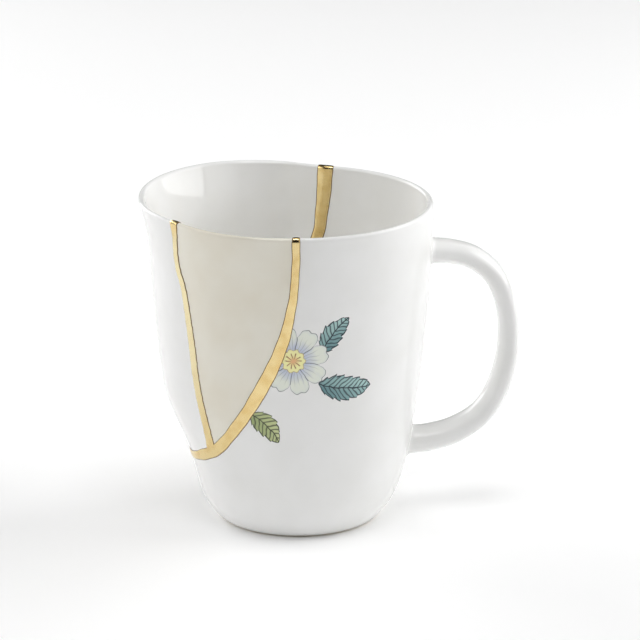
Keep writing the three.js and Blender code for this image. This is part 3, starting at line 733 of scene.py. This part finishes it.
def seam_bead(stations, closed):
    """A bead along the stations, up the outside, over the lip and down the inside, closed to a loop or with
    its ends shut. Its section is a flattened oval: a cosine across the seam's width and a sine off the
    skin, both to the power of the flatness. Its edges wander and its height swells by sums of sines along
    the seam. An open bead gains a share of its width towards its lower ends, by e to the minus distance
    over the branch's reach. Gives points, faces and each point's distance from the seen edge, mm."""
    table = np.array(stations) * (1, MUG_HEIGHT, SEAM_WIDTH)
    if closed:
        table = np.vstack([table[0] + (0, PAST_RIM, 0), table])
    table = np.vstack([table, table[-1] + (0, PAST_RIM, 0)])
    angle, height, width = curve_through(table, steps=14).T
    below = height < LIP_START
    angle, height, width = angle[below], height[below], width[below]
    lip = np.linspace(LIP_START, LIP_END, BEAD_LIP_ROWS)

    def over_lip(end, ways):
        return np.full(BEAD_LIP_ROWS, angle[end]), ways, np.full(BEAD_LIP_ROWS, width[end])

    stretches = [
        (angle, height, width), over_lip(-1, lip), (angle[::-1], inside_way(height[::-1]), width[::-1])
    ]
    if closed:
        stretches.append(over_lip(0, lip[::-1]))
    angle, way, width = (np.concatenate([stretch[k] for stretch in stretches]) for k in range(3))
    inner = way > LIP_TOP
    at = np.where(inner, LIP_START + LIP_END - way, way)
    radius = np.linalg.norm(skin(angle, way, 0.0)[:, :2] - MUG_AXIS, axis=1)
    degree = np.radians(radius)
    flat = np.stack([angle * degree.mean(), way], axis=1)
    step = np.linalg.norm(np.diff(flat, axis=0), axis=1)
    keep = np.append(True, step > SHORTEST_STEP)
    angle, way, width, degree, at = angle[keep], way[keep], width[keep], degree[keep], at[keep]
    if closed:
        ahead_angle = np.roll(angle, -1) - np.roll(angle, 1)
        ahead_way = np.roll(way, -1) - np.roll(way, 1)
    else:
        ahead_angle, ahead_way = np.gradient(angle), np.gradient(way)
        from_branch = np.minimum(at, LIP_START) - at.min()
        width = width * (1 + BRANCH_WIDENING * np.exp(-from_branch / BRANCH_REACH))
    across = np.stack([-ahead_way, ahead_angle * degree], axis=1)
    across /= np.linalg.norm(across, axis=1, keepdims=True)
    run = np.concatenate([[0], np.cumsum(np.hypot(np.diff(angle) * degree[1:], np.diff(way)))])
    whole = 2 * np.pi * run / (run[-1] + 1)
    one_edge, other_edge = (
        sum(size * np.sin(count * whole + start) for size, count, start in waves)[:, None]
        for waves in (ONE_EDGE_WAVES, OTHER_EDGE_WAVES)
    )
    plump = 1 - SWELLING + SWELLING * np.sin(SWELLS * whole + SWELL_START)
    turn = np.linspace(0, 2 * np.pi, BEAD_SIDES, endpoint=False)[None, :]
    share = np.sign(np.cos(turn)) * np.abs(np.cos(turn)) ** FLATNESS
    rise = np.sign(np.sin(turn)) * np.abs(np.sin(turn)) ** FLATNESS
    half = width[:, None] / 2 * BEAD_SPREAD
    off = share * half + np.where(share > 0, one_edge, other_edge) * np.abs(share)
    top = (SEAM_PROUD * plump[:, None] + BEAD_SINK) * rise - BEAD_SINK
    bottom = (SEAM_BURIED - BEAD_SINK) * rise - BEAD_SINK
    proud = np.where(turn < np.pi, top, bottom)
    points = skin(
        angle[:, None] + off * across[:, :1] / degree[:, None], way[:, None] + off * across[:, 1:], proud
    )
    from_edge = half * (SEEN_SHARE - np.abs(share))
    if not closed:
        ends = [np.broadcast_to(points[k].mean(axis=0), points[k].shape)[None] for k in (0, -1)]
        points = np.concatenate([ends[0], points, ends[1]])
        from_edge = np.vstack([from_edge[:1], from_edge, from_edge[-1:]])
    places, faces, first = closed_shell(points, grid_faces(points.shape[0], points.shape[1], closed, True))
    return places, faces, from_edge.ravel()[first]


beads = [seam_bead(EDGE_SEAM, True), seam_bead(LEFT_SEAM, False)]
gold_seams = make_piece("gold_seams", beads, sharp_angle=60)
from_edge = gold_seams.data.attributes.new("from_edge", "FLOAT", "POINT")
from_edge.data.foreach_set("value", np.concatenate([bead[2] for bead in beads]))
# Painted reflection: a share of paler gold on the seam between the shards, for the bright room it reflects
# at a grazing angle
painted_reflection = gold_seams.data.attributes.new("painted_reflection", "FLOAT", "POINT")
bead_height = [bead[0][:, 2] / MUG_HEIGHT for bead in beads]
come, gone = (smoothstep(bead_height[1], *span) for span in (PALE_COMES, PALE_GOES))
pale = PALE_SHARE * come * (1 - gone)
painted_reflection.data.foreach_set("value", np.concatenate([np.zeros(len(bead_height[0])), pale]))


def laid_gold():
    """Gold laid over lacquer and burnished: a metal with a soft polish. It lies thinner in patches, where it
    is deeper and duller, and the brushed lacquer under it leaves faint waves. Along its edges, where
    from_edge is small, bare lacquer shows. painted_reflection is the share of the paler gold, a painted
    reflection of the bright room on the seam between the shards."""
    material, tree = new_material("gold laid over lacquer, burnished")
    place = add(tree, "ShaderNodeTexCoord", out="Object")
    patches = add(tree, "ShaderNodeTexNoise", {"Vector": place, "Scale": GOLD_PATCHES, "Detail": 3.0})
    thin = add(tree, "ShaderNodeMapRange", [patches, 0.42, 0.72, 0.0, 0.7])
    colour = add(
        tree, "ShaderNodeMix", {0: thin, 6: linear(GOLD), 7: linear(GOLD_THIN)}, out=2, data_type="RGBA"
    )
    # Painted reflection: paler gold mixed in where painted_reflection is set
    painted_reflection = add(tree, "ShaderNodeAttribute", out="Fac", attribute_name="painted_reflection")
    colour = add(
        tree, "ShaderNodeMix", {0: painted_reflection, 6: colour, 7: linear(GOLD_PALE)}, out=2, data_type="RGBA"
    )
    from_edge = add(tree, "ShaderNodeAttribute", out="Fac", attribute_name="from_edge")
    bare = add(tree, "ShaderNodeMapRange", [from_edge, LACQUER_EDGE * 0.4, LACQUER_EDGE, 1.0, 0.0])
    colour = add(tree, "ShaderNodeMix", {0: bare, 6: colour, 7: linear(LACQUER)}, out=2, data_type="RGBA")
    metallic = add(tree, "ShaderNodeMapRange", [bare, 0.0, 1.0, 1.0, 0.3])
    roughness = add(tree, "ShaderNodeMapRange", [patches, 0.3, 0.8, 0.16, 0.3])
    waves = add(tree, "ShaderNodeTexNoise", {"Vector": place, "Scale": GOLD_WAVES, "Detail": 2.0})
    bump = add(tree, "ShaderNodeBump", {"Strength": 1.0, "Distance": WAVE_HEIGHT, "Height": waves})
    gold = add(
        tree, "ShaderNodeBsdfPrincipled",
        {"Base Color": colour, "Metallic": metallic, "Roughness": roughness, "Normal": bump},
    )
    add(tree, "ShaderNodeOutputMaterial", {"Surface": gold})
    return material


gold_seams.data.materials.append(laid_gold())
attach(gold_seams, "root")
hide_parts("gold_seam")

# Floor, light and camera
# A plain white studio table. A large soft box at the right and one at the left rear give most of the light,
# with a smaller one overhead and weak ones all round. The room itself only glows faintly from behind.

bpy.context.scene.view_settings.view_transform = "Standard"
bpy.context.scene.cycles.diffuse_bounces = 10  # light goes on from wall to wall inside a white cup

FLOOR_HALF = 6.0  # metres
PAPER, PAPER_ROUGHNESS, PAPER_SHEEN = "#fefefe", 0.9, 0.1
floor_corners = [(FLOOR_HALF * x, FLOOR_HALF * y, 0) for x, y in ((-1, -1), (1, -1), (1, 1), (-1, 1))]
floor_mesh = bpy.data.meshes.new("floor")
floor_mesh.from_pydata(floor_corners, [], [(0, 1, 2, 3)])
floor = bpy.data.objects.new("floor", floor_mesh)
bpy.context.scene.collection.objects.link(floor)
paper, paper_tree = new_material("white paper sweep")
paper_surface = add(
    paper_tree, "ShaderNodeBsdfPrincipled",
    {"Base Color": linear(PAPER), "Roughness": PAPER_ROUGHNESS, "Specular IOR Level": PAPER_SHEEN},
)
add(paper_tree, "ShaderNodeOutputMaterial", {"Surface": paper_surface})
floor_mesh.materials.append(paper)

VIEW_TURN = -4.0  # degrees from the camera's axes to the mug's
VIEW_ELEVATION = 17.6  # degrees down
VIEW_DISTANCE = 1300.0  # mm
VIEW_AIM = (6.75, 0.0, 61.9)  # mm right, back and up of the cup's foot
FOCAL_PIXELS = 4234.5
PICTURE_WIDTH = 640  # pixels
SENSOR_WIDTH = 36.0  # mm


def from_view(x, y, z):
    """Point of the frame, in metres, from millimetres right, back and up of the cup's foot as the camera
    sees it."""
    turn = np.radians(VIEW_TURN)
    return Vector(
        (
            (MUG_AXIS[0] + x * np.cos(turn) - y * np.sin(turn)) * MILLIMETRE,
            (MUG_AXIS[1] + x * np.sin(turn) + y * np.cos(turn)) * MILLIMETRE,
            z * MILLIMETRE,
        )
    )


def looking(thing, eye, aim):
    """Puts a camera or a light at eye, looking at aim, upright."""
    back = (eye - aim).normalized()
    right = Vector((0, 0, 1)).cross(back).normalized()
    turned = Matrix((right, back.cross(right), back)).transposed().to_4x4()
    thing.matrix_world = Matrix.Translation(eye) @ turned
    bpy.context.scene.collection.objects.link(thing)


elevation = np.radians(VIEW_ELEVATION)
aim_x, aim_y, aim_z = VIEW_AIM
camera_data = bpy.data.cameras.new("camera")
camera_data.sensor_width = SENSOR_WIDTH
camera_data.lens = FOCAL_PIXELS * SENSOR_WIDTH / PICTURE_WIDTH
camera_data.clip_start = 0.05
camera = bpy.data.objects.new("camera", camera_data)
eye = from_view(
    aim_x, aim_y - VIEW_DISTANCE * np.cos(elevation), aim_z + VIEW_DISTANCE * np.sin(elevation)
)
looking(camera, eye, from_view(*VIEW_AIM))
bpy.context.scene.camera = camera

LIT_POINT = (0, 0, 50)  # what all the soft boxes face, half way up the cup
# Soft boxes: where they stand in millimetres as the camera sees it, size in millimetres, watts
SOFT_BOXES = [
    ("right soft box", (900, 150, 650), 1000, 8.8),
    ("right rear soft box", (650, 850, 500), 800, 2.0),
    ("left soft box", (-1000, 0, 600), 800, 2.6),
    ("left rear soft box", (-800, 750, 450), 800, 7.1),
    ("top soft box", (0, -350, 1300), 700, 6.1),
    ("right front soft box", (800, -700, 500), 700, 1.6),
    ("left front soft box", (-980, -420, 480), 700, 2.2),
]
for name, place, size, watts in SOFT_BOXES:
    light_data = bpy.data.lights.new(name, "AREA")
    light_data.shape = "SQUARE"
    light_data.size = size * MILLIMETRE
    light_data.energy = watts
    light = bpy.data.objects.new(name, light_data)
    looking(light, from_view(*place), from_view(*LIT_POINT))

# The room's own glow: the side that it comes from, and its strength there. It falls off by the cosine.
GLOW_SIDE = (0, 1, 0)
GLOW_STRENGTH = 0.05
world = bpy.data.worlds.new("pale room")
world.use_nodes = True
world.node_tree.nodes.clear()
bpy.context.scene.world = world
room = world.node_tree
direction = add(room, "ShaderNodeTexCoord", out="Generated")
toward = add(room, "ShaderNodeVectorMath", [direction, GLOW_SIDE], out=1, operation="DOT_PRODUCT")
toward = add(room, "ShaderNodeMath", [toward, 0.0], operation="MAXIMUM")
brightness = add(room, "ShaderNodeMath", [toward, GLOW_STRENGTH], operation="MULTIPLY")
background = add(room, "ShaderNodeBackground", {"Color": (1.0, 1.0, 1.0, 1.0), "Strength": brightness})
add(room, "ShaderNodeOutputWorld", {"Surface": background})
